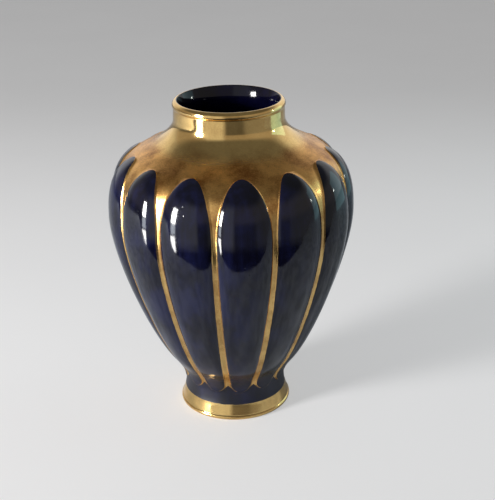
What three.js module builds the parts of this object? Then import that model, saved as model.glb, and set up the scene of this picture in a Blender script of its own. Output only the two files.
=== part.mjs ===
// A lobed vase of cobalt-glazed and gilded ceramic, cast in one hollow piece.
// Millimetres, +Z up. The origin is the centre of the foot, on the surface that the vase stands on.
// A plain outline is turned about Z, and the lobes are then raised on it along its normals, so the
// grooves and the smooth shoulder are the turned body itself and the lobes stand proud of it.
import * as THREE from 'three';

// The lobes: how many, and the angle of one groove from -Y towards +X
const LOBES = 13;
const GROOVE_ANGLE = THREE.MathUtils.degToRad(-8);
const CREST_RISE = 4.5;
const EDGE_STEP = 0.7;
const GROOVE_WIDTH_BELOW = 4.2;
const GROOVE_WIDTH_ABOVE = 3.3;
const ARCH_LENGTH = 40;
const END_LENGTH = 7;
const END_ABOVE_WAIST = 3.1;

// The turned body: radius and height of the points where its line changes its bend
const WAIST = new THREE.Vector2(34.2, 17.2);
const LOW_BELLY = new THREE.Vector2(43, 38.1);
const WIDEST = new THREE.Vector2(76.7, 141.2);
const ARCH_TIP = new THREE.Vector2(61.5, 180.9);
const NECK_BASE = new THREE.Vector2(36, 203);
const BELLY_LEAN = 35.1;
const SHOULDER_LEAN = -59.5;

// The neck, its lip that slopes outward from a narrow top edge, and the mouth that opens upward
const NECK_TOP = new THREE.Vector2(35.8, 210);
const HEIGHT = 215;
const LIP_TOP_RADIUS = 33.5;
const LIP_HALF_WIDTH = 2.9;
const LIP_HALF_HEIGHT = 3;
const MOUTH_EDGE = new THREE.Vector2(33.1, 214.5);
const MOUTH_MIDDLE = new THREE.Vector2(32.4, 211.5);
const MOUTH_FOOT = new THREE.Vector2(31.5, 207.5);

// The foot: a slim bead that carries the vase, a flared band over it, and the hollow underneath
const BEAD_RADIUS = 1.6;
const BEAD_CENTRE_RADIUS = 36.3;
const BAND_FOOT = new THREE.Vector2(36.9, 3.4);
const BAND_TOP = new THREE.Vector2(35.1, 10.5);
const COVE_MIDDLE = new THREE.Vector2(34.5, 13.6);
const FOOT_RING_INNER_RADIUS = 31.5;
const RECESS_RADIUS = 29.5;
const RECESS_DEPTH = 3.5;

// The wall, and how much of a lobe's rise shows on its inner side
const WALL = 4.2;
const NECK_WALL = 4.9;
const INNER_SHARE = 0.6;
const FLOOR_EDGE = new THREE.Vector2(24.2, 9);
const FLOOR_CORNER = new THREE.Vector2(28.0, 12);

// A lobe's section: two columns to its middle each side, and one in the groove between two lobes
const PITCH = 2 * Math.PI / LOBES;
const COLUMNS_PER_LOBE = 6;
const HALFWAY_SHARE = 0.88;
const INNER_EDGE_SHARE = 0.25;
const CLOSED_LOBE = 0.02 * PITCH;
const PLAIN_EDGE = PITCH / 3;

// Rows of points: where they lie in a lobe's round end and arch, and how many make each other stretch
const ROUND_END_ROWS = [0, 0.15, 0.45];
const ARCH_ROWS = [0, 0.35, 0.6, 0.8, 0.94, 1];
const ROW_GAP = 0.5;
const SIDE_STEPS = 9;
const SHOULDER_STEPS = 7;
const INSIDE_STEPS = 11;
const MOULDING_STEPS = 4;

// A bend between two points, each with its lean from upright in degrees and the pull of that lean
function bend(from, fromLean, fromPull, to, toLean, toPull) {
  const heading = (lean) => {
    const angle = THREE.MathUtils.degToRad(lean);
    return new THREE.Vector2(Math.sin(angle), Math.cos(angle));
  };
  const leaving = heading(fromLean).multiplyScalar(fromPull).add(from);
  const arriving = heading(toLean).multiplyScalar(-toPull).add(to);
  return new THREE.CubicBezierCurve(from, leaving, arriving, to);
}

// The line of the turned body, from the waist over the foot to the base of the neck
const bodyLine = new THREE.CurvePath();
bodyLine.add(bend(WAIST, 0, 8.8, LOW_BELLY, BELLY_LEAN, 9.8));
bodyLine.add(bend(LOW_BELLY, BELLY_LEAN, 23.8, WIDEST, 0, 26.4));
bodyLine.add(bend(WIDEST, 0, 19.6, ARCH_TIP, SHOULDER_LEAN, 14.4));
bodyLine.add(bend(ARCH_TIP, SHOULDER_LEAN, 5, NECK_BASE, 0, 11));
const bodyLength = bodyLine.getLength();
const [, widestDistance, tipDistance] = bodyLine.getCurveLengths();

// A row of the turned body: a point, the outward normal, the angle from a lobe's middle to its edge,
// and the rise over the turned body in the groove, at the edge, halfway in and on the crest
function row(point, normal, edgeAngle, rises) {
  return { point, normal, edgeAngle, rises };
}

function plainRow(radius, height) {
  return row(new THREE.Vector2(radius, height), new THREE.Vector2(1, 0), PLAIN_EDGE, [0, 0, 0, 0]);
}

function pointAndNormal(distance) {
  const share = distance / bodyLength;
  const point = bodyLine.getPoint(share);
  const tangent = bodyLine.getTangent(share);
  return { point, normal: new THREE.Vector2(tangent.y, -tangent.x) };
}

// How far a lobe is open at a distance along the body, 0 to 1. Both ends are quarters of an ellipse:
// a tall narrow arch above and a low round end below.
function opening(distance) {
  const archShare = THREE.MathUtils.clamp((tipDistance - distance) / ARCH_LENGTH, 0, 1);
  const endShare = THREE.MathUtils.clamp((distance - END_ABOVE_WAIST) / END_LENGTH, 0, 1);
  return Math.sqrt(1 - (1 - archShare) ** 2) * Math.sqrt(1 - (1 - endShare) ** 2);
}

// The rise of a crest goes with the square of the body's radius and fades into both ends
function crestRise(distance, radius) {
  return CREST_RISE * (radius / WIDEST.x) ** 2 * opening(distance);
}

function outerRow(distance) {
  const { point, normal } = pointAndNormal(distance);
  const onLobe = distance >= END_ABOVE_WAIST && distance <= tipDistance;
  if (!onLobe) {
    return row(point, normal, PLAIN_EDGE, [0, 0, 0, 0]);
  }
  const grooveWidth = THREE.MathUtils.lerp(GROOVE_WIDTH_BELOW, GROOVE_WIDTH_ABOVE, distance / tipDistance);
  const halfGroove = grooveWidth / 2 / point.x;
  const edgeAngle = Math.max((PITCH / 2 - halfGroove) * opening(distance), CLOSED_LOBE);
  const crest = Math.max(crestRise(distance, point.x), EDGE_STEP);
  const halfway = EDGE_STEP + HALFWAY_SHARE * (crest - EDGE_STEP);
  return row(point, normal, edgeAngle, [0, EDGE_STEP, halfway, crest]);
}

// The inner side follows the body at the wall's thickness, with softer lobes and a thicker neck
function innerRow(distance) {
  const { point, normal } = pointAndNormal(distance);
  const neckShare = THREE.MathUtils.smoothstep(distance, tipDistance, bodyLength);
  const wall = THREE.MathUtils.lerp(WALL, NECK_WALL, neckShare);
  const crest = INNER_SHARE * crestRise(distance, point.x);
  point.addScaledVector(normal, -wall);
  return row(point, normal, PLAIN_EDGE, [0, INNER_EDGE_SHARE * crest, HALFWAY_SHARE * crest, crest]);
}

function spread(from, to, steps) {
  return Array.from({ length: steps + 1 }, (_, k) => from + (to - from) * k / steps);
}

// A round moulding: an ellipse's rows between two angles, counted from outward towards up
function moulding(centreRadius, centreHeight, halfWidth, halfHeight, fromAngle, toAngle) {
  return spread(fromAngle, toAngle, MOULDING_STEPS).map((degrees) => {
    const angle = THREE.MathUtils.degToRad(degrees);
    return plainRow(centreRadius + halfWidth * Math.cos(angle), centreHeight + halfHeight * Math.sin(angle));
  });
}

function footRows() {
  return [
    plainRow(0, RECESS_DEPTH),
    plainRow(RECESS_RADIUS, RECESS_DEPTH),
    plainRow(FOOT_RING_INNER_RADIUS, 0),
    ...moulding(BEAD_CENTRE_RADIUS, BEAD_RADIUS, BEAD_RADIUS, BEAD_RADIUS, -90, 65),
    plainRow(BAND_FOOT.x, BAND_FOOT.y),
    plainRow(BAND_TOP.x, BAND_TOP.y),
    plainRow(COVE_MIDDLE.x, COVE_MIDDLE.y),
  ];
}

function bodyRows() {
  const endTop = END_ABOVE_WAIST + END_LENGTH;
  const archFoot = tipDistance - ARCH_LENGTH;
  const cove = [0, END_ABOVE_WAIST - ROW_GAP];
  const roundEnd = ROUND_END_ROWS.map((share) => END_ABOVE_WAIST + share * END_LENGTH);
  const side = spread(endTop, widestDistance, SIDE_STEPS);
  const arch = ARCH_ROWS.map((share) => archFoot + share * ARCH_LENGTH);
  const shoulder = spread(tipDistance + ROW_GAP, bodyLength, SHOULDER_STEPS);
  const distances = [...cove, ...roundEnd, ...side, ...arch, ...shoulder];
  return distances.map(outerRow);
}

function lipRows() {
  const lipCentre = HEIGHT - LIP_HALF_HEIGHT;
  return [
    plainRow(NECK_TOP.x, NECK_TOP.y),
    ...moulding(LIP_TOP_RADIUS, lipCentre, LIP_HALF_WIDTH, LIP_HALF_HEIGHT, -30, 90),
  ];
}

function insideRows() {
  return [
    plainRow(MOUTH_EDGE.x, MOUTH_EDGE.y),
    plainRow(MOUTH_MIDDLE.x, MOUTH_MIDDLE.y),
    plainRow(MOUTH_FOOT.x, MOUTH_FOOT.y),
    ...spread(bodyLength, END_ABOVE_WAIST + END_LENGTH, INSIDE_STEPS).map(innerRow),
    plainRow(WAIST.x - WALL, WAIST.y),
    plainRow(FLOOR_CORNER.x, FLOOR_CORNER.y),
    plainRow(FLOOR_EDGE.x, FLOOR_EDGE.y),
    plainRow(0, FLOOR_EDGE.y),
  ];
}

// Turn the rows, then move each column to its place on its lobe and raise it
function vaseGeometry() {
  const rows = [...footRows(), ...bodyRows(), ...lipRows(), ...insideRows()];
  const columns = LOBES * COLUMNS_PER_LOBE;
  const geometry = new THREE.LatheGeometry(rows.map(({ point }) => point), columns);
  const position = geometry.getAttribute('position');
  for (let column = 0; column <= columns; column += 1) {
    const lobe = Math.floor(column / COLUMNS_PER_LOBE);
    const place = column % COLUMNS_PER_LOBE;
    const steps = place - COLUMNS_PER_LOBE / 2;
    rows.forEach(({ point, normal, edgeAngle, rises }, index) => {
      const fromMiddle = place === 0 ? -PITCH / 2 : steps * edgeAngle / 2;
      const angle = GROOVE_ANGLE + (lobe + 0.5) * PITCH + fromMiddle;
      const rise = rises[COLUMNS_PER_LOBE / 2 - Math.abs(steps)];
      const radius = point.x + rise * normal.x;
      const height = point.y + rise * normal.y;
      const vertex = column * rows.length + index;
      position.setXYZ(vertex, radius * Math.sin(angle), height, radius * Math.cos(angle));
    });
  }
  geometry.rotateX(Math.PI / 2);
  geometry.computeVertexNormals();
  return geometry;
}

const cobaltGlaze = new THREE.MeshStandardMaterial({ color: 0x14153c, roughness: 0.12, metalness: 0 });

const vase = new THREE.Mesh(vaseGeometry(), cobaltGlaze);
vase.name = 'vase';

const group = new THREE.Group();
group.add(vase);

export default group;
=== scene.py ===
# %% [markdown]
# # A lobed vase in cobalt glaze and fired gold
# The vase is one hollow piece of slip-cast ware. It stands on a small round foot, swells to its
# widest at two thirds of its height, and closes over a smooth shoulder to a short neck. Thirteen
# raised lobes run up its sides like the segments of a fruit, each with a pointed arch for a top.
# The lobes are deep cobalt blue. The shoulder, neck, lip, foot and the narrow grooves are gilded.
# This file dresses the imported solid: it makes the fine surface, its finishes, a stage and light.

import bpy
import numpy as np
from mathutils import Matrix


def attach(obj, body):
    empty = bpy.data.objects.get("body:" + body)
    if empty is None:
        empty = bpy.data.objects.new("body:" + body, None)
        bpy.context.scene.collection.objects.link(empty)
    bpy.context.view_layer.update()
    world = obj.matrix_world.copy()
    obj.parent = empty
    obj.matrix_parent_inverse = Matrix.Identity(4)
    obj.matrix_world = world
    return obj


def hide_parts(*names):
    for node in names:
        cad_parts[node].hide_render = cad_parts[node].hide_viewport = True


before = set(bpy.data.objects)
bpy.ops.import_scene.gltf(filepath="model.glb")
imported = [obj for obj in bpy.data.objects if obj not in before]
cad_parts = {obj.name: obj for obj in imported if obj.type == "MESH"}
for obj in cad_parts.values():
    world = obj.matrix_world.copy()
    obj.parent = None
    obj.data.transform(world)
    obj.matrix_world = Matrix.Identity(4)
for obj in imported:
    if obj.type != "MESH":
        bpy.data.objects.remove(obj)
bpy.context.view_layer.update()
MM = 0.001

# %% [markdown]
# ## The camera
# The picture is a close view from a little above, about three vase heights away. A camera could be
# aimed at the vase with a constraint, but the hand that held this one had a slight turn and roll,
# so its three axes are built from angles: first the level axes, then the tilt down, then the roll.

# %% Camera from its place, turn, tilt and roll
CAMERA_PLACE = (0.0, -0.700, 0.40562)
TILT_DOWN, TURN, ROLL = np.radians([22.916, -0.84, -1.06])
LENS = 81.246

level_right = np.array([np.cos(TURN), np.sin(TURN), 0.0])
level_ahead = np.array([-np.sin(TURN), np.cos(TURN), 0.0])
ahead = np.cos(TILT_DOWN) * level_ahead - np.sin(TILT_DOWN) * np.array([0.0, 0.0, 1.0])
level_up = np.cross(level_right, ahead)
right = np.cos(ROLL) * level_right + np.sin(ROLL) * level_up
up = np.cos(ROLL) * level_up - np.sin(ROLL) * level_right

camera_data = bpy.data.cameras.new("camera")
camera_data.lens = LENS
camera_data.sensor_width = 36.0
camera = bpy.data.objects.new("camera", camera_data)
axes = np.eye(4)
axes[:3, 0], axes[:3, 1], axes[:3, 2], axes[:3, 3] = right, up, -ahead, CAMERA_PLACE
camera.matrix_world = Matrix(axes.tolist())
bpy.context.scene.collection.objects.link(camera)
bpy.context.scene.camera = camera
print("camera looks along", np.round(ahead, 3).tolist())

# %% [markdown]
# ## The turned line
# A potter's template gives the body its line, and so does a chain of cubic bends here: each bend is
# fixed by its two ends, the lean there, and how hard each lean pulls. One long spline through many
# points would ripple in a glaze this glossy, and four bends can't. Lengths are in millimetres, and
# the points are the same named sizes that the solid has.

# %% The body's line from the waist to the neck, as four bends
BEND_POINTS = 400
WAIST, LOW_BELLY, WIDEST = (34.2, 17.2), (43.0, 38.1), (76.7, 141.2)
ARCH_TIP, NECK_BASE = (61.5, 180.9), (36.0, 203.0)
BELLY_LEAN, SHOULDER_LEAN = 35.1, -59.5


def bend(start, start_lean, start_pull, end, end_lean, end_pull):
    """A cubic bend: (1-t)^3 start + 3(1-t)^2 t leaving + 3(1-t) t^2 arriving + t^3 end, where leaving
    and arriving lie one pull along the lean, in degrees from upright, inside each end."""
    t = np.linspace(0, 1, BEND_POINTS)[:, None]
    leans = np.radians([start_lean, end_lean])
    headings = np.stack([np.sin(leans), np.cos(leans)], axis=1)
    leaving = np.array(start) + start_pull * headings[0]
    arriving = np.array(end) - end_pull * headings[1]
    return ((1 - t) ** 3 * np.array(start) + 3 * (1 - t) ** 2 * t * leaving
            + 3 * (1 - t) * t ** 2 * arriving + t ** 3 * np.array(end))


bends = [
    bend(WAIST, 0, 8.8, LOW_BELLY, BELLY_LEAN, 9.8),
    bend(LOW_BELLY, BELLY_LEAN, 23.8, WIDEST, 0, 26.4),
    bend(WIDEST, 0, 19.6, ARCH_TIP, SHOULDER_LEAN, 14.4),
    bend(ARCH_TIP, SHOULDER_LEAN, 5, NECK_BASE, 0, 11),
]
line = np.concatenate([bends[0]] + [b[1:] for b in bends[1:]])
travel = np.concatenate([[0], np.cumsum(np.hypot(*np.diff(line, axis=0).T))])
BODY_LENGTH = travel[-1]
WIDEST_AT, TIP_AT = travel[2 * (BEND_POINTS - 1)], travel[3 * (BEND_POINTS - 1)]


def body_line(along):
    """Radius and height at a distance along the body's line."""
    return np.interp(along, travel, line[:, 0]), np.interp(along, travel, line[:, 1])


print(f"body line {BODY_LENGTH:.1f} mm long, arch tips at {TIP_AT:.1f} mm")

# %% [markdown]
# ## The shape of a lobe
# Seen flat, a lobe is a long petal: a tall narrow arch at the shoulder, a round end over the foot.
# Its half width comes from the body's own size, because thirteen lobes and thirteen grooves share
# every ring of the body, and the grooves widen a little towards the foot. Across, the lobe is
# almost flat in its middle, rounds off towards its edges and ends in a small step down to the
# groove. The alternative, carving grooves with a cutter, would leave the edges ragged where they
# run out at the arch.

# %% Half width and crest of a lobe along the body
LOBES = 13
PITCH = 2 * np.pi / LOBES
GROOVE_ANGLE = np.radians(-8)
CREST_RISE, EDGE_STEP, FLANK = 4.2, 0.7, 0.95
SECTION_POWER, NARROWEST = 3, 3
GROOVE_WIDTH_BELOW, GROOVE_WIDTH_ABOVE = 4.2, 3.3
ARCH_LENGTH = 40
END_AT, END_LENGTH = 3.1, 7


def opening(along):
    """How far a lobe is open, 0 to 1: sqrt(1-(1-a)^2) below the arch tip times sqrt(1-(1-b)^2) above
    the round end, where a and b are the shares of the arch's and of the end's length."""
    a = np.clip((TIP_AT - along) / ARCH_LENGTH, 0, 1)
    b = np.clip((along - END_AT) / END_LENGTH, 0, 1)
    return np.sqrt(1 - (1 - a) ** 2) * np.sqrt(1 - (1 - b) ** 2)


def half_width(along):
    """Half a ring's thirteenth less half a groove, times the opening, in millimetres of arc."""
    radius, _ = body_line(along)
    share = np.clip(along / TIP_AT, 0, 1)
    groove = GROOVE_WIDTH_BELOW + (GROOVE_WIDTH_ABOVE - GROOVE_WIDTH_BELOW) * share
    return (radius * PITCH / 2 - groove / 2) * opening(along)


def crest(along):
    """A crest's rise goes with the square of the body's radius, fades at both ends, and is never
    less than the edge's step."""
    radius, _ = body_line(along)
    return np.maximum(CREST_RISE * (radius / WIDEST[0]) ** 2 * opening(along), EDGE_STEP)


print("half width at the widest:", round(float(half_width(WIDEST_AT)), 2), "mm")

# %% [markdown]
# ## How far a point is from the lobe's edge
# The step, the gilding and the small wander of the gilder's brush all follow the edge of the lobe.
# A signed distance to that edge serves all three: below zero on the lobe, above zero in the groove.
# It is the least distance to the short straight pieces of the outline, worked out for all points
# at once.

# %% Signed distance to the outline of a lobe
OUTLINE_POINTS = 500
turn = np.linspace(0, np.pi, OUTLINE_POINTS)
outline_along = END_AT + (TIP_AT - END_AT) * (1 - np.cos(turn)) / 2
outline = np.stack([half_width(outline_along), outline_along], axis=1)


def edge_distance(across, along):
    """Least distance from (across, along) to the pieces of the outline, negative inside it. On one
    piece the nearest point is the foot of the perpendicular, held between the piece's two ends."""
    point = np.stack([np.abs(across), along], axis=-1)[..., None, :]
    start, piece = outline[:-1], np.diff(outline, axis=0)
    share = ((point - start) * piece).sum(-1) / (piece ** 2).sum(-1)
    nearest = start + np.clip(share, 0, 1)[..., None] * piece
    distance = np.sqrt(((point - nearest) ** 2).sum(-1)).min(-1)
    return np.where(np.abs(across) < half_width(along), -distance, distance)


def lobe_rise(across, along):
    """On the lobe: step + (crest - step)(1 - v^3), v being the share of the half width. Off it, a
    cubic falls from the step to nothing over the flank, and starts at the lobe's own slope, which
    is held down where the arch is narrow."""
    width = np.maximum(half_width(along), 1e-6)
    swell = crest(along) - EDGE_STEP
    on_lobe = EDGE_STEP + swell * (1 - np.minimum(np.abs(across) / width, 1) ** SECTION_POWER)
    distance = edge_distance(across, along)
    t = np.clip(distance / FLANK, 0, 1)
    slope = -SECTION_POWER * swell / np.maximum(width, NARROWEST) * FLANK
    flank = EDGE_STEP * (2 * t ** 3 - 3 * t ** 2 + 1) + slope * (t ** 3 - 2 * t ** 2 + t)
    return np.where(distance < 0, on_lobe, np.maximum(flank, 0)), distance


print("rise on a crest at the widest:", lobe_rise(np.array([0.0]), np.array([WIDEST_AT]))[0], "mm")

# %% [markdown]
# ## The rows of the grid
# The whole skin is one grid, closed on itself: up the outside from the middle of the underside,
# over the lip and down the inside to the middle of the floor. A row is a ring with a radius, a
# height and an outward normal. Rows crowd together where the line turns quickly, in the mouldings
# of the lip and foot, at the round ends and at the arch tips, and are about 2 mm apart elsewhere.

# %% Rows of the foot, body, neck, lip and inside
HEIGHT = 215.0
BEAD_RADIUS, BEAD_CENTRE = 1.6, 36.3
LIP_TOP_RADIUS, LIP_HALF_WIDTH, LIP_HALF_HEIGHT = 33.5, 2.9, 3.0
WALL, NECK_WALL, INNER_SHARE = 4.2, 5.4, 0.6
LIP_FROM, LIP_TO = -24, 90
END_TOP_AT, ARCH_FOOT_AT = END_AT + END_LENGTH, TIP_AT - ARCH_LENGTH
COVE_ROWS, END_ROWS, SIDE_ROWS, ARCH_ROWS, SHOULDER_ROWS, INSIDE_ROWS = 6, 13, 66, 34, 22, 24


def arc(centre, half_wide, half_high, start, end, count):
    """Points of an ellipse between two angles in degrees, counted from outward towards up."""
    angle = np.radians(np.linspace(start, end, count))
    radius = centre[0] + half_wide * np.cos(angle)
    height = centre[1] + half_high * np.sin(angle)
    return np.stack([radius, height], axis=1)


def eased(start, end, count, crowd):
    """Distances from start to end that crowd towards the end: 1-(1-t)^crowd."""
    t = np.linspace(0, 1, count)
    return start + (end - start) * (1 - (1 - t) ** crowd)


underside = np.array([(9, 3.5), (18, 3.5), (25, 3.5), (28.6, 3.5), (29.4, 3.35), (30.0, 2.9),
                      (31.1, 0.55), (31.4, 0.12), (31.9, 0)])
bead = arc((BEAD_CENTRE, BEAD_RADIUS), BEAD_RADIUS, BEAD_RADIUS, -90, 62, 14)
band = np.array([(37.04, 3.1), (37.02, 3.25), (36.93, 3.55), (36.75, 4.15), (36.15, 6.15), (35.51, 8.3),
                 (34.88, 10.4), (34.72, 11.2), (34.5, 12.5), (34.34, 13.9), (34.24, 15.6)])
body_along = np.concatenate([
    np.linspace(0, END_AT - 0.6, COVE_ROWS),
    END_AT - np.array([0.4, 0.2]),
    END_AT + END_LENGTH * (1 - np.cos(np.linspace(0, np.pi / 2, END_ROWS))),
    np.linspace(END_TOP_AT, ARCH_FOOT_AT, SIDE_ROWS)[1:],
    eased(ARCH_FOOT_AT, TIP_AT, ARCH_ROWS, 1.5)[1:],
    TIP_AT + np.array([0.25, 0.5, 0.75, 1.0, 1.3, 1.7, 2.2, 3.0]),
    np.linspace(TIP_AT + 4, BODY_LENGTH, SHOULDER_ROWS),
])
neck = np.array([(35.97, 204.5), (35.93, 206), (35.88, 207.5), (35.82, 208.8), (35.78, 209.6),
                 (35.78, 210.1), (35.86, 210.5)])
lip_centre = (LIP_TOP_RADIUS, HEIGHT - LIP_HALF_HEIGHT)
lip = arc(lip_centre, LIP_HALF_WIDTH, LIP_HALF_HEIGHT, LIP_FROM, LIP_TO, 15)
mouth = np.array([(33.28, 214.92), (33.15, 214.7), (32.95, 214.2), (32.55, 213.2), (31.95, 211.6),
                  (31.4, 209.9), (30.95, 208.1), (30.7, 206.2), (30.62, 204.4)])
inside_along = np.linspace(BODY_LENGTH, END_TOP_AT, INSIDE_ROWS)
inside_floor = np.array([(29.7, 17), (28.0, 12), (26.6, 10.1), (24.2, 9), (16, 9), (8, 9)])
row_runs = (underside, bead, band, body_along, neck, lip, mouth, inside_along, inside_floor)
print("rows in each run:", [len(run) for run in row_runs])

# %% [markdown]
# ## Placing the columns
# With evenly spaced columns the slanting edge of an arch would look like a saw. Here the columns
# slide with the lobe instead: some always lie on it, some on its flank and some in the groove, so
# an edge of the grid follows each arch exactly. Beyond the two ends of a lobe they fan out again.

# %% Where the columns of half a lobe lie in each row
ON_LOBE, ON_FLANK, IN_GROOVE = 8, 4, 3
HALF_COLUMNS = ON_LOBE + ON_FLANK + IN_GROOVE
LEAST_HALF, FAN_ABOVE, FAN_BELOW, PLAIN_SHARE = 0.3, 1.1, 1.8, 0.62
FLANK_RUN, FLANK_SHARE, LEAST_GROOVE = 1.05 * FLANK, 0.25, 0.45


def column_places(along, radius):
    """Arc distance from the lobe's middle to each of its columns, in three even runs: over the lobe,
    over its flank, and over what is left of the groove. Past an end the first run starts at a least
    half width and fans out by a fixed amount for each millimetre, to its share of a plain ring."""
    half_pitch = radius * PITCH / 2
    past_tip = LEAST_HALF + FAN_ABOVE * np.clip(along - TIP_AT, 0, None)
    past_end = LEAST_HALF + FAN_BELOW * np.clip(END_AT - along, 0, None)
    free = np.where(along > (TIP_AT + END_AT) / 2, past_tip, past_end)
    first = np.maximum(half_width(along), np.minimum(free, PLAIN_SHARE * half_pitch))
    flank = np.minimum(FLANK_RUN, FLANK_SHARE * half_pitch)
    second = np.minimum(first + flank, half_pitch - LEAST_GROOVE)
    stops = np.stack([np.zeros_like(first), first, second, half_pitch], axis=1)
    counts = [ON_LOBE, ON_FLANK, IN_GROOVE]
    runs = [stops[:, k:k + 1] + (stops[:, k + 1:k + 2] - stops[:, k:k + 1]) * np.arange(n) / n
            for k, n in enumerate(counts)]
    return np.concatenate(runs + [half_pitch[:, None]], axis=1)


print("columns round the vase:", 2 * HALF_COLUMNS * LOBES)

# %% [markdown]
# ## The skin of the vase
# Two functions of two parameters, the row and the column, make the whole skin. One takes the body's
# line, its normals and the lobes' rise: it makes the outside, and the inside too, set in by the
# wall and with softer lobes, as slip settles in a mould. The other makes the plain rings of the
# foot, neck, lip, mouth and floor. Displacing a plain vase by an image would be quicker to set up,
# but it blurs the step at a lobe's edge.

# %% Points of every row
NORMAL_REACH = 0.3
PLAIN_AT, LEAST_RING = -50.0, 5.0


def ring_points(radius, height, angles):
    """A plain ring: (radius sin a, -radius cos a, height), so angle 0 looks at -Y."""
    return np.stack([radius * np.sin(angles), -radius * np.cos(angles), height + 0 * angles], axis=-1)


def columns_round(places, radius):
    """Angles of all columns in each row: half a lobe's places mirrored, then repeated round."""
    half = places / radius[:, None]
    lobe = np.concatenate([-half[:, :0:-1], half[:, :-1]], axis=1)
    middles = GROOVE_ANGLE + PITCH * (np.arange(LOBES) + 0.5)
    return (middles[None, :, None] + lobe[:, None, :]).reshape(len(radius), -1), lobe


def normals_of(along):
    """Outward normals of the body's line, a quarter turn from its heading."""
    ahead_r, ahead_z = body_line(along + NORMAL_REACH)
    behind_r, behind_z = body_line(along - NORMAL_REACH)
    heading = np.stack([ahead_r - behind_r, ahead_z - behind_z], axis=1)
    heading /= np.hypot(*heading.T)[:, None]
    return heading[:, 1], -heading[:, 0]


def body_skin(along, wall, share):
    """The line at each distance, moved along its normal by share times the lobes' rise less the
    wall, and the distance of every point to the edge of its lobe."""
    radius, height = body_line(along)
    normal_r, normal_z = normals_of(along)
    places = column_places(along, radius)
    angles, lobe = columns_round(places, radius)
    rise, distance = lobe_rise(lobe * radius[:, None], along[:, None] + 0 * lobe)
    rise, distance = np.tile(rise, LOBES), np.tile(distance, LOBES)
    move = share * rise - wall[:, None]
    return ring_points(radius[:, None] + move * normal_r[:, None],
                       height[:, None] + move * normal_z[:, None], angles), distance


def plain_skin(rings):
    """Rings of given radius and height with the columns of a plain row, far past a lobe's end."""
    column_radius = np.maximum(rings[:, 0], LEAST_RING)
    places = column_places(np.full(len(rings), PLAIN_AT), column_radius)
    angles, _ = columns_round(places, column_radius)
    return ring_points(rings[:, 0][:, None], rings[:, 1][:, None], angles)


outside, outside_edge = body_skin(body_along, np.zeros(len(body_along)), 1.0)
neck_share = np.clip((inside_along - TIP_AT) / (BODY_LENGTH - TIP_AT), 0, 1)
inside_wall = WALL + (NECK_WALL - WALL) * neck_share ** 2 * (3 - 2 * neck_share)
inside, _ = body_skin(inside_along, inside_wall, INNER_SHARE)
parts = [plain_skin(underside), plain_skin(bead), plain_skin(band), outside, plain_skin(neck),
         plain_skin(lip), plain_skin(mouth), inside, plain_skin(inside_floor)]
skin = np.concatenate(parts)
starts = np.cumsum([0] + [len(p) for p in parts])
BEAD_ROW, BAND_ROW, MOUTH_ROW = starts[1], starts[2], starts[6]
print("grid:", skin.shape[0], "rows x", skin.shape[1], "columns")

# %% [markdown]
# ## Where the gold lies
# The gilder's edge is stored on the points as a distance in millimetres, above zero on gold, and
# held to 4 either way because only the edge matters. Between two points the distance changes
# evenly, so the material can draw an edge much finer than the mesh. Painting a mask as an image
# would need far more pixels for the same sharpness. A second value says how hard the gold is
# burnished: mirror bright on neck and foot, satin on the shoulder.

# %% Gilding distance and burnish on the rows
FAR = 4.0
BAND_TOP_AT = 10.5
LIP_GILDED_TO, LIP_MM_PER_DEGREE = 86, 0.05


def leg_width(along):
    """Width of the gold along a lobe's edge: the whole groove above its fork, then two legs that
    taper out round the lobes' ends."""
    return np.interp(along, [END_AT - 0.6, END_AT + 1.0, END_AT + 3.5, END_AT + 5.8, END_AT + 6.4],
                     [-0.6, 0.45, 0.95, 2.2, 90.0])


leg = leg_width(body_along)[:, None]
body_gilding = np.clip(np.minimum(outside_edge, leg - outside_edge), -FAR, FAR)
lip_angle = np.linspace(LIP_FROM, LIP_TO, len(lip))[:, None]
lip_gilding = np.clip((LIP_GILDED_TO - lip_angle) * LIP_MM_PER_DEGREE, -FAR, FAR)
moulding_heights = np.concatenate([bead[:, 1], band[:, 1]])[:, None]
columns = skin.shape[1]
gilding = np.concatenate([
    np.full((len(underside), columns), -FAR),
    np.tile(np.clip(BAND_TOP_AT - moulding_heights, -FAR, FAR), columns),
    body_gilding,
    np.full((len(neck), columns), FAR),
    np.tile(lip_gilding, columns),
    np.full((len(skin) - MOUTH_ROW, columns), -FAR),
])
burnish_stops = [END_AT, TIP_AT - 45, TIP_AT - 12, TIP_AT, BODY_LENGTH - 26, BODY_LENGTH - 7]
body_burnish = np.interp(body_along, burnish_stops, [0.5, 0.5, 0.35, 0.12, 0.12, 1.0])
row_burnish = np.concatenate([
    np.full(BAND_ROW, 0.7), np.full(len(band), 1.0), body_burnish, np.full(len(neck), 1.0),
    np.full(len(lip), 0.9), np.full(len(skin) - MOUTH_ROW, 0.5),
])
burnish = row_burnish[:, None] + 0 * gilding
print("gilded share of the grid's points:", round(float((gilding > 0).mean()), 2))

# %% [markdown]
# ## Putting the grid into a mesh
# Each cell of the grid is a quad, and the last column joins the first, so there is no seam. The
# faces are listed so that their corners run anticlockwise seen from outside. Two points at the
# poles close the skin, which makes it one watertight piece like the solid that it stands for.

# %% One closed mesh with its two point values
def closed_grid(rows, cols):
    """Quads (r,c) (r,c+1) (r+1,c+1) (r+1,c) with columns wrapped round, and a fan at either end."""
    r, c = np.meshgrid(np.arange(rows - 1), np.arange(cols), indexing="ij")
    nxt = (c + 1) % cols
    quads = np.stack([r * cols + c, r * cols + nxt, (r + 1) * cols + nxt, (r + 1) * cols + c], -1)
    ring = np.arange(cols)
    bottom = np.stack([ring + 0 * ring, np.full(cols, rows * cols), (ring + 1) % cols], -1)
    last = (rows - 1) * cols
    top = np.stack([last + ring, last + (ring + 1) % cols, np.full(cols, rows * cols + 1)], -1)
    return quads.reshape(-1, 4), bottom, top


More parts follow.
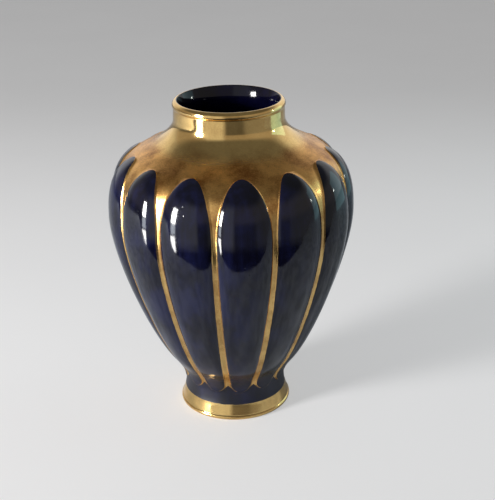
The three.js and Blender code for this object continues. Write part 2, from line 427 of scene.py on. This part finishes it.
rows = skin.shape[0]
poles = np.array([[0, 0, underside[0, 1]], [0, 0, inside_floor[-1, 1]]])
points = np.concatenate([skin.reshape(-1, 3), poles]) * MM
quads, bottom_fan, top_fan = closed_grid(rows, columns)
faces = quads.tolist() + bottom_fan.tolist() + top_fan.tolist()

vase_mesh = bpy.data.meshes.new("vase_skin")
vase_mesh.from_pydata(points.tolist(), [], faces)
vase_mesh.polygons.foreach_set("use_smooth", np.ones(len(faces), bool))
for name, values in (("gilding_mm", gilding), ("burnish", burnish)):
    attribute = vase_mesh.attributes.new(name, "FLOAT", "POINT")
    attribute.data.foreach_set("value", np.append(values.ravel(), [-FAR, -FAR]).astype(np.float32))
vase_mesh.update()
vase_skin = bpy.data.objects.new("vase_skin", vase_mesh)
bpy.context.scene.collection.objects.link(vase_skin)
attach(vase_skin, "root")
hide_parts("vase")
print("triangles:", 2 * len(quads) + len(bottom_fan) + len(top_fan))

# %% [markdown]
# ## Helpers for the finishes
# An effect that several finishes share is a node group, built once with named sockets. A few short
# helpers keep the groups readable: they make a node and set it up, do a step of arithmetic, mix two
# colours, ease a value from one range to another, and make a whole group with its sockets.

# %% Helpers that make nodes and groups
def add(tree, kind, settings=None, **inputs):
    """A node of one kind, with its settings and the values or links of its inputs."""
    node = tree.nodes.new(kind)
    for key, value in (settings or {}).items():
        setattr(node, key, value)
    for key, value in inputs.items():
        socket = node.inputs[int(key[1:])] if key[0] == "i" and key[1:].isdigit() else node.inputs[key]
        if isinstance(value, bpy.types.NodeSocket):
            tree.links.new(value, socket)
        else:
            socket.default_value = value
    return node


def object_place(tree):
    """A point's own place on the object, in metres."""
    return add(tree, "ShaderNodeTexCoord").outputs["Object"]


def noise(tree, place, scale, detail=2.0, roughness=0.5):
    """Soft cloudy noise from 0 to 1, with so many lumps to the metre."""
    settings = {"Vector": place, "Scale": scale, "Detail": detail, "Roughness": roughness}
    return add(tree, "ShaderNodeTexNoise", **settings).outputs[0]


def maths(tree, operation, *values):
    """One step of arithmetic on two values or links."""
    inputs = {f"i{k}": value for k, value in enumerate(values)}
    return add(tree, "ShaderNodeMath", {"operation": operation}, **inputs).outputs[0]


def blend_colours(tree, share, first, second):
    """First where share is 0, second where it is 1."""
    return add(tree, "ShaderNodeMix", {"data_type": "RGBA"}, i0=share, i6=first, i7=second).outputs[2]


def blend_values(tree, share, first, second):
    """First where share is 0, second where it is 1."""
    return add(tree, "ShaderNodeMix", i0=share, i2=first, i3=second).outputs[0]


def bump(tree, height, strength, depth_mm):
    """A normal bent by a height from 0 to 1 that stands for so many millimetres."""
    settings = {"Height": height, "Strength": strength, "Distance": depth_mm * MM}
    return add(tree, "ShaderNodeBump", **settings).outputs[0]


def smooth_step(tree, value, low, high, out_low=0.0, out_high=1.0):
    """A value carried from low..high to out_low..out_high with eased ends."""
    settings = {"interpolation_type": "SMOOTHSTEP"}
    return add(tree, "ShaderNodeMapRange", settings, i0=value, i1=low, i2=high,
               i3=out_low, i4=out_high).outputs[0]


def group(name, inputs, outputs):
    """An empty node group: inputs are (name, kind, value), outputs are (name, kind)."""
    tree = bpy.data.node_groups.new(name, "ShaderNodeTree")
    for label, kind, value in inputs:
        socket = tree.interface.new_socket(label, in_out="INPUT", socket_type=f"NodeSocket{kind}")
        socket.default_value = value
    for label, kind in outputs:
        tree.interface.new_socket(label, in_out="OUTPUT", socket_type=f"NodeSocket{kind}")
    return tree, tree.nodes.new("NodeGroupInput").outputs, tree.nodes.new("NodeGroupOutput").inputs


print("helpers ready")

# %% [markdown]
# ## Cobalt glaze
# The glaze is a thick glass stained with cobalt over a pale body. It pools and thins as it melts,
# so its blue is cloudy, with faint upright runs, and its surface has a slow ripple and a few
# pinholes. Noise on the object's own coordinates gives the clouds, the same noise squeezed across
# and stretched upright gives the runs, and one low bump bends the reflections a little.

# %% Node group: cobalt glaze
glaze, given, out = group("cobalt_glaze", [
    ("Deep", "Color", (0.0015, 0.0015, 0.006, 1)), ("Rich", "Color", (0.004, 0.005, 0.024, 1)),
    ("Runs", "Float", 0.5)], [("Colour", "Color"), ("Roughness", "Float"), ("Height", "Float")])
place = object_place(glaze)
clouds = noise(glaze, place, 38.0, 4.0, 0.6)
squeezed = add(glaze, "ShaderNodeMapping", Vector=place, Scale=(260, 260, 14)).outputs[0]
runs = maths(glaze, "SUBTRACT", noise(glaze, squeezed, 1.0, 3.0), 0.5)
mottle = maths(glaze, "ADD", clouds, maths(glaze, "MULTIPLY", runs, given["Runs"]))
thin = smooth_step(glaze, mottle, 0.35, 0.72)
glaze.links.new(blend_colours(glaze, thin, given["Deep"], given["Rich"]), out["Colour"])
haze = maths(glaze, "ADD", maths(glaze, "MULTIPLY", noise(glaze, place, 900.0), 0.4), clouds)
glaze.links.new(smooth_step(glaze, haze, 0.4, 1.1, 0.05, 0.16), out["Roughness"])
ripple = noise(glaze, place, 120.0, 1.0)
pits = add(glaze, "ShaderNodeTexVoronoi", Vector=place, Scale=170.0).outputs["Distance"]
pinholes = smooth_step(glaze, pits, 0.0, 0.09, -1.2, 0.0)
glaze.links.new(maths(glaze, "ADD", ripple, pinholes), out["Height"])
print("cobalt glaze sockets:", [s.name for s in glaze.interface.items_tree])

# %% [markdown]
# ## Fired gold
# The gold is a thin metal film fired on the glaze. Brushed on and polished unevenly, it is mirror
# bright where it was burnished, and a finely grained satin where it was left as it came from the
# kiln. The satin is warmer in hue, and handling dulls and browns it in patches. So the burnish
# value moves the metal's colour from bright to satin, the patches darken it, roughness follows
# the burnish too, and the grain is a very fine bump.

# %% Node group: fired gold
gold, given, out = group("fired_gold", [
    ("Burnish", "Float", 0.5), ("Bright", "Color", (0.97, 0.67, 0.26, 1)),
    ("Satin", "Color", (0.92, 0.50, 0.15, 1)), ("Dull", "Color", (0.34, 0.14, 0.035, 1))],
    [("Colour", "Color"), ("Roughness", "Float"), ("Height", "Float")])
place = object_place(gold)
patches = noise(gold, place, 55.0, 5.0, 0.65)
grain = noise(gold, place, 1500.0)
satin = maths(gold, "SUBTRACT", 1.0, given["Burnish"])
wear = maths(gold, "ADD", patches, maths(gold, "MULTIPLY", grain, 0.35))
dulling = smooth_step(gold, wear, 0.45, 0.95)
dulled = maths(gold, "MULTIPLY", dulling, smooth_step(gold, satin, 0.0, 1.0, 0.35, 1.2))
warmth = smooth_step(gold, satin, 0.35, 0.9)
hue = blend_colours(gold, warmth, given["Bright"], given["Satin"])
gold.links.new(blend_colours(gold, dulled, hue, given["Dull"]), out["Colour"])
base_roughness = smooth_step(gold, satin, 0.0, 1.0, 0.07, 0.3)
patch_roughness = maths(gold, "MULTIPLY", patches, 0.06)
gold.links.new(maths(gold, "ADD", base_roughness, patch_roughness), out["Roughness"])
gold.links.new(maths(gold, "MULTIPLY", grain, satin), out["Height"])
print("fired gold sockets:", [s.name for s in gold.interface.items_tree])

# %% [markdown]
# ## The finish of the outside
# Gold and glaze meet along a hand-drawn edge. One shader carries both, because a metal film and a
# glass differ only in colour, metalness and roughness, and a mask can drive all three. The mask is
# the stored distance, moved by a small noise for the wander of the brush, and cut off sharply. Low
# on the body, where the glaze ran thick and cooled slowly, it is duller.

# %% Material: cobalt glaze with fired gold
GLAZE_IOR = 1.52
BRUSH_WANDER, EDGE_BLUR = 0.5, 0.06
DULL_BELOW, CLEAR_ABOVE = 26 * MM, 40 * MM


def new_material(name):
    """A material with an empty Principled shader, and its node tree."""
    material = bpy.data.materials.new(name)
    material.use_nodes = True
    tree = material.node_tree
    tree.nodes.clear()
    shader = tree.nodes.new("ShaderNodeBsdfPrincipled")
    output = tree.nodes.new("ShaderNodeOutputMaterial")
    tree.links.new(shader.outputs[0], output.inputs["Surface"])
    return material, tree, shader


def use_group(tree, which, **inputs):
    """A shared group placed in a material, with its own values."""
    return add(tree, "ShaderNodeGroup", {"node_tree": which}, **inputs).outputs


outer_finish, tree, shader = new_material("cobalt_and_fired_gold")
place = object_place(tree)
distance = add(tree, "ShaderNodeAttribute", {"attribute_name": "gilding_mm"}).outputs["Fac"]
polish = add(tree, "ShaderNodeAttribute", {"attribute_name": "burnish"}).outputs["Fac"]
brush = maths(tree, "SUBTRACT", noise(tree, place, 240.0), 0.5)
wander = maths(tree, "MULTIPLY", brush, BRUSH_WANDER)
mask = smooth_step(tree, maths(tree, "ADD", distance, wander), -EDGE_BLUR, EDGE_BLUR)
blue = use_group(tree, glaze)
gilt = use_group(tree, gold, Burnish=polish)
tree.links.new(blend_colours(tree, mask, blue["Colour"], gilt["Colour"]), shader.inputs["Base Color"])
tree.links.new(mask, shader.inputs["Metallic"])
height = add(tree, "ShaderNodeSeparateXYZ", Vector=place).outputs["Z"]
low_dullness = smooth_step(tree, height, DULL_BELOW, CLEAR_ABOVE, 0.32, 0.0)
glaze_roughness = maths(tree, "ADD", blue["Roughness"], low_dullness)
roughness = blend_values(tree, mask, glaze_roughness, gilt["Roughness"])
tree.links.new(roughness, shader.inputs["Roughness"])
glaze_bump = bump(tree, blue["Height"], 0.25, 0.3)
gold_bump = bump(tree, gilt["Height"], 0.35, 0.2)
both = add(tree, "ShaderNodeMix", {"data_type": "VECTOR"}, i0=mask, i4=glaze_bump, i5=gold_bump)
tree.links.new(both.outputs[1], shader.inputs["Normal"])
shader.inputs["IOR"].default_value = GLAZE_IOR
print("outside finish:", outer_finish.name)

# %% [markdown]
# ## The inside and the underside
# The glaze was poured through the neck too, so the inside is the same blue, set a little darker and
# with weaker reflections: painted shade inside the hollow. Underneath, a foot is wiped clean so that
# it doesn't stick to the kiln shelf: the ring that the vase stands on is bare pale body, rough to the
# finger, and the hollow inside it is glazed.

# %% Materials: inside glaze and underside
inner_finish, tree, shader = new_material("cobalt_inside")
# Painted shade: the inside's blue is set a little darker than the outside glaze.
shaded_inside_glaze = {"Deep": (0.001, 0.001, 0.005, 1), "Rich": (0.003, 0.003, 0.022, 1), "Runs": 0.2}
blue = use_group(tree, glaze, **shaded_inside_glaze)
tree.links.new(blue["Colour"], shader.inputs["Base Color"])
tree.links.new(blue["Roughness"], shader.inputs["Roughness"])
tree.links.new(bump(tree, blue["Height"], 0.25, 0.3), shader.inputs["Normal"])
shader.inputs["IOR"].default_value = GLAZE_IOR
# Painted shade: the inside's reflections are weakened to dim the hollow.
shader.inputs["Specular IOR Level"].default_value = 0.3

BARE_FROM, BARE_FULLY, BARE_WANDER = 30.4 * MM, 30.9 * MM, 1.6 * MM
foot_finish, tree, shader = new_material("wiped_foot")
place = object_place(tree)
flat = add(tree, "ShaderNodeVectorMath", {"operation": "MULTIPLY"}, i0=place, i1=(1, 1, 0)).outputs[0]
out_from_middle = add(tree, "ShaderNodeVectorMath", {"operation": "LENGTH"}, i0=flat).outputs["Value"]
uneven = noise(tree, place, 300.0, 4.0)
edge = maths(tree, "ADD", out_from_middle, maths(tree, "MULTIPLY", uneven, BARE_WANDER))
bare = smooth_step(tree, edge, BARE_FROM, BARE_FULLY)
clay = blend_colours(tree, uneven, (0.62, 0.55, 0.45, 1), (0.80, 0.76, 0.68, 1))
blue = use_group(tree, glaze)
tree.links.new(blend_colours(tree, bare, blue["Colour"], clay), shader.inputs["Base Color"])
tree.links.new(blend_values(tree, bare, blue["Roughness"], 0.75), shader.inputs["Roughness"])
tree.links.new(bump(tree, uneven, 0.3, 0.2), shader.inputs["Normal"])

for material in (outer_finish, inner_finish, foot_finish):
    vase_mesh.materials.append(material)
OUTSIDE, INSIDE, UNDERSIDE = 0, 1, 2
row_material = np.full(rows - 1, OUTSIDE)
row_material[:BEAD_ROW - 1] = UNDERSIDE
row_material[MOUTH_ROW:] = INSIDE
fan_material = np.repeat([UNDERSIDE, INSIDE], columns)
face_material = np.concatenate([np.repeat(row_material, columns), fan_material])
vase_mesh.polygons.foreach_set("material_index", face_material.astype(np.int32))
print("faces by finish:", np.bincount(face_material).tolist())

# %% [markdown]
# ## The table
# A dark, glossy pot shows mostly what stands round it, so the stage is part of the picture. The vase
# stands close to the front edge of a pale table. The lower half of each lobe mirrors the table, and the
# upper half mirrors the dim room past its edge. One big floor would mirror pale everywhere, so the
# floor is two sheets, and the front one is seen by the camera but not by reflections. Reflections see
# the table in a paler, bluer, mottled colour, a painted reflection tone, and the camera sees a plain
# grey. A painted glow that only the camera sees stands in for light on the table and lifts its
# shadows; it is strongest at the front and evens out the table's tone from front to back.

# %% Two pale sheets, the front one hidden from reflections
FRONT_EDGE, TABLE_REACH, TABLE_CELLS = -0.225, 4.0, 8


def sheet(name, y_from, y_to):
    """A flat grid at height 0: x from -reach to +reach, and y between the sheet's two edges."""
    side = TABLE_CELLS + 1
    share = np.linspace(0, 1, side)
    u, v = np.meshgrid(share, share, indexing="ij")
    spots = np.stack([TABLE_REACH * (2 * u - 1), y_from + (y_to - y_from) * v, 0 * u], -1)
    i, j = np.meshgrid(np.arange(TABLE_CELLS), np.arange(TABLE_CELLS), indexing="ij")
    corner = i * side + j
    cells = np.stack([corner, corner + side, corner + side + 1, corner + 1], -1)
    mesh = bpy.data.meshes.new(name)
    mesh.from_pydata(spots.reshape(-1, 3).tolist(), [], cells.reshape(-1, 4).tolist())
    piece = bpy.data.objects.new(name, mesh)
    bpy.context.scene.collection.objects.link(piece)
    return piece


table_finish, tree, shader = new_material("pale_table")
place = object_place(tree)
seen = add(tree, "ShaderNodeLightPath").outputs["Is Camera Ray"]
unevenness = smooth_step(tree, noise(tree, place, 26.0, 4.0, 0.6), 0.35, 0.65)
# Painted reflection: the table as the glaze mirrors it gets a paler, bluer, mottled colour.
painted_reflection_tone = blend_colours(tree, unevenness, (0.50, 0.53, 0.58, 1), (0.76, 0.80, 0.88, 1))
plain = blend_colours(tree, noise(tree, place, 6.0, 3.0), (0.42, 0.42, 0.43, 1), (0.46, 0.46, 0.47, 1))
tree.links.new(blend_colours(tree, seen, painted_reflection_tone, plain), shader.inputs["Base Color"])
back_from_front = add(tree, "ShaderNodeSeparateXYZ", Vector=place).outputs["Y"]
# Painted glow for the camera only: it stands in for light on the table and lifts its shadows, strongest
# in front.
painted_glow_strength = smooth_step(tree, back_from_front, 0.05, 0.9, 0.42, 0.22)
shader.inputs["Emission Color"].default_value = (0.985, 0.99, 1.0, 1)
tree.links.new(maths(tree, "MULTIPLY", seen, painted_glow_strength), shader.inputs["Emission Strength"])
shader.inputs["Roughness"].default_value = 0.8
shader.inputs["Specular IOR Level"].default_value = 0.2
table = sheet("table", FRONT_EDGE, TABLE_REACH)
table_front = sheet("table_front", -TABLE_REACH, FRONT_EDGE)
for piece in (table, table_front):
    piece.data.materials.append(table_finish)
table_front.visible_glossy = False
table_front.visible_diffuse = False
table_front.visible_shadow = False
print("table's front edge at y =", FRONT_EDGE)

# %% [markdown]
# ## The room
# The gold on the neck and foot works as a round mirror and shows a ring of the room: a bright wall
# at front left, a dim stretch in front, a softer wall at right, and a pale one behind. The world
# is worked out from the direction alone: a ramp round the compass gives each wall's tone at a
# bearing, in degrees from -Y towards +X. Higher up no wall is darker than a warm grey, and then
# the height blends them into a dim ceiling above and a dark ground below.

# %% World: walls round the compass, ceiling and ground
WALLS = [(-180, 0.95), (-144, 0.85), (-111.6, 0.12), (-61.2, 0.10), (-46.8, 0.62), (-14.4, 0.62),
         (-5.4, 0.12), (25.2, 0.11), (36, 0.24), (93.6, 0.28), (129.6, 0.75), (180, 0.95)]
CEILING, GROUND, UPPER_WALL = (0.13, 0.13, 0.125, 1), (0.02, 0.02, 0.02, 1), (0.42, 0.38, 0.34, 1)
BACKDROP = (0.72, 0.73, 0.75, 1)
world = bpy.data.worlds.new("room")
bpy.context.scene.world = world
world.use_nodes = True
tree = world.node_tree
tree.nodes.clear()
direction = add(tree, "ShaderNodeTexCoord").outputs["Generated"]
heading = add(tree, "ShaderNodeSeparateXYZ", Vector=direction).outputs
compass = maths(tree, "ARCTAN2", heading["X"], maths(tree, "MULTIPLY", heading["Y"], -1.0))
round_share = maths(tree, "MULTIPLY_ADD", compass, 1 / (2 * np.pi), 0.5)
ramp = add(tree, "ShaderNodeValToRGB", i0=round_share)
while len(ramp.color_ramp.elements) < len(WALLS):
    ramp.color_ramp.elements.new(0.5)
for element, (bearing, tone) in zip(ramp.color_ramp.elements, WALLS):
    element.position = bearing / 360 + 0.5
    element.color = (tone, tone, tone, 1)
above = smooth_step(tree, heading["Z"], 0.42, 0.72)
below = smooth_step(tree, heading["Z"], -0.42, -0.30, 1.0, 0.0)
upper_wall = smooth_step(tree, heading["Z"], -0.02, 0.16, 0.0, 0.7)
lighten = {"data_type": "RGBA", "blend_type": "LIGHTEN"}
room = add(tree, "ShaderNodeMix", lighten, i0=upper_wall, i6=ramp.outputs[0], i7=UPPER_WALL).outputs[2]
room = blend_colours(tree, above, room, CEILING)
room = blend_colours(tree, below, room, GROUND)
seen = add(tree, "ShaderNodeLightPath").outputs["Is Camera Ray"]
room = blend_colours(tree, seen, room, BACKDROP)
background = add(tree, "ShaderNodeBackground", Color=room, Strength=1.0).outputs[0]
output = tree.nodes.new("ShaderNodeOutputWorld")
tree.links.new(background, output.inputs["Surface"])
bpy.context.scene.view_settings.view_transform = "Standard"
print("wall tones:", len(WALLS))

# %% [markdown]
# ## The windows
# The sharp highlights are one tall window at left, in three panes with bars between. It reaches
# below the table's height, as a glass door does, so its image runs far down each lobe. A broad
# greenish pane stands close by at right, and a small bright one further off. Area lights of their
# real size and distance give those highlights their true shape, and soft shadows too.

# %% Area lights placed by compass bearing and height
def window(name, bearing, distance, low, high, width, radiance, colour):
    """An upright soft light that faces the vase: at a bearing in degrees from -Y towards +X, between
    a low and a high edge. A flat lamp of even radiance gives pi times radiance times area."""
    size = high - low
    data = bpy.data.lights.new(name, "AREA")
    data.shape, data.size, data.size_y = "RECTANGLE", width, size
    data.energy, data.color = np.pi * radiance * width * size, colour
    lamp = bpy.data.objects.new(name, data)
    angle = np.radians(bearing)
    outward = np.array([np.sin(angle), -np.cos(angle), 0.0])
    side = np.array([np.cos(angle), np.sin(angle), 0.0])
    turned = np.eye(4)
    turned[:3, 0], turned[:3, 1], turned[:3, 2] = side, (0, 0, 1), outward
    turned[:3, 3] = distance * outward + np.array([0, 0, (low + high) / 2])
    lamp.matrix_world = Matrix(turned.tolist())
    bpy.context.scene.collection.objects.link(lamp)
    return lamp


FAR_OFF, CLOSE_BY = 1.8, 0.75
DAYLIGHT, PALE_SKY = (1.0, 0.985, 0.96), (0.88, 0.94, 1.0)
BLUE_GREEN, SOFT_GREEN = (0.42, 0.90, 1.0), (0.95, 1.0, 0.92)
window("window_left_upper", -61.5, FAR_OFF, 0.11, 0.79, 0.39, 80, DAYLIGHT)
window("window_left_middle", -61.5, FAR_OFF, -0.25, 0.06, 0.42, 7, PALE_SKY)
window("window_left_lower", -62.5, FAR_OFF, -0.66, -0.31, 0.42, 26, DAYLIGHT)
window("window_right", 110, CLOSE_BY, 0.0, 0.50, 0.50, 0.62, BLUE_GREEN)
window("window_small", 97, FAR_OFF, 0.42, 0.52, 0.06, 40, SOFT_GREEN)
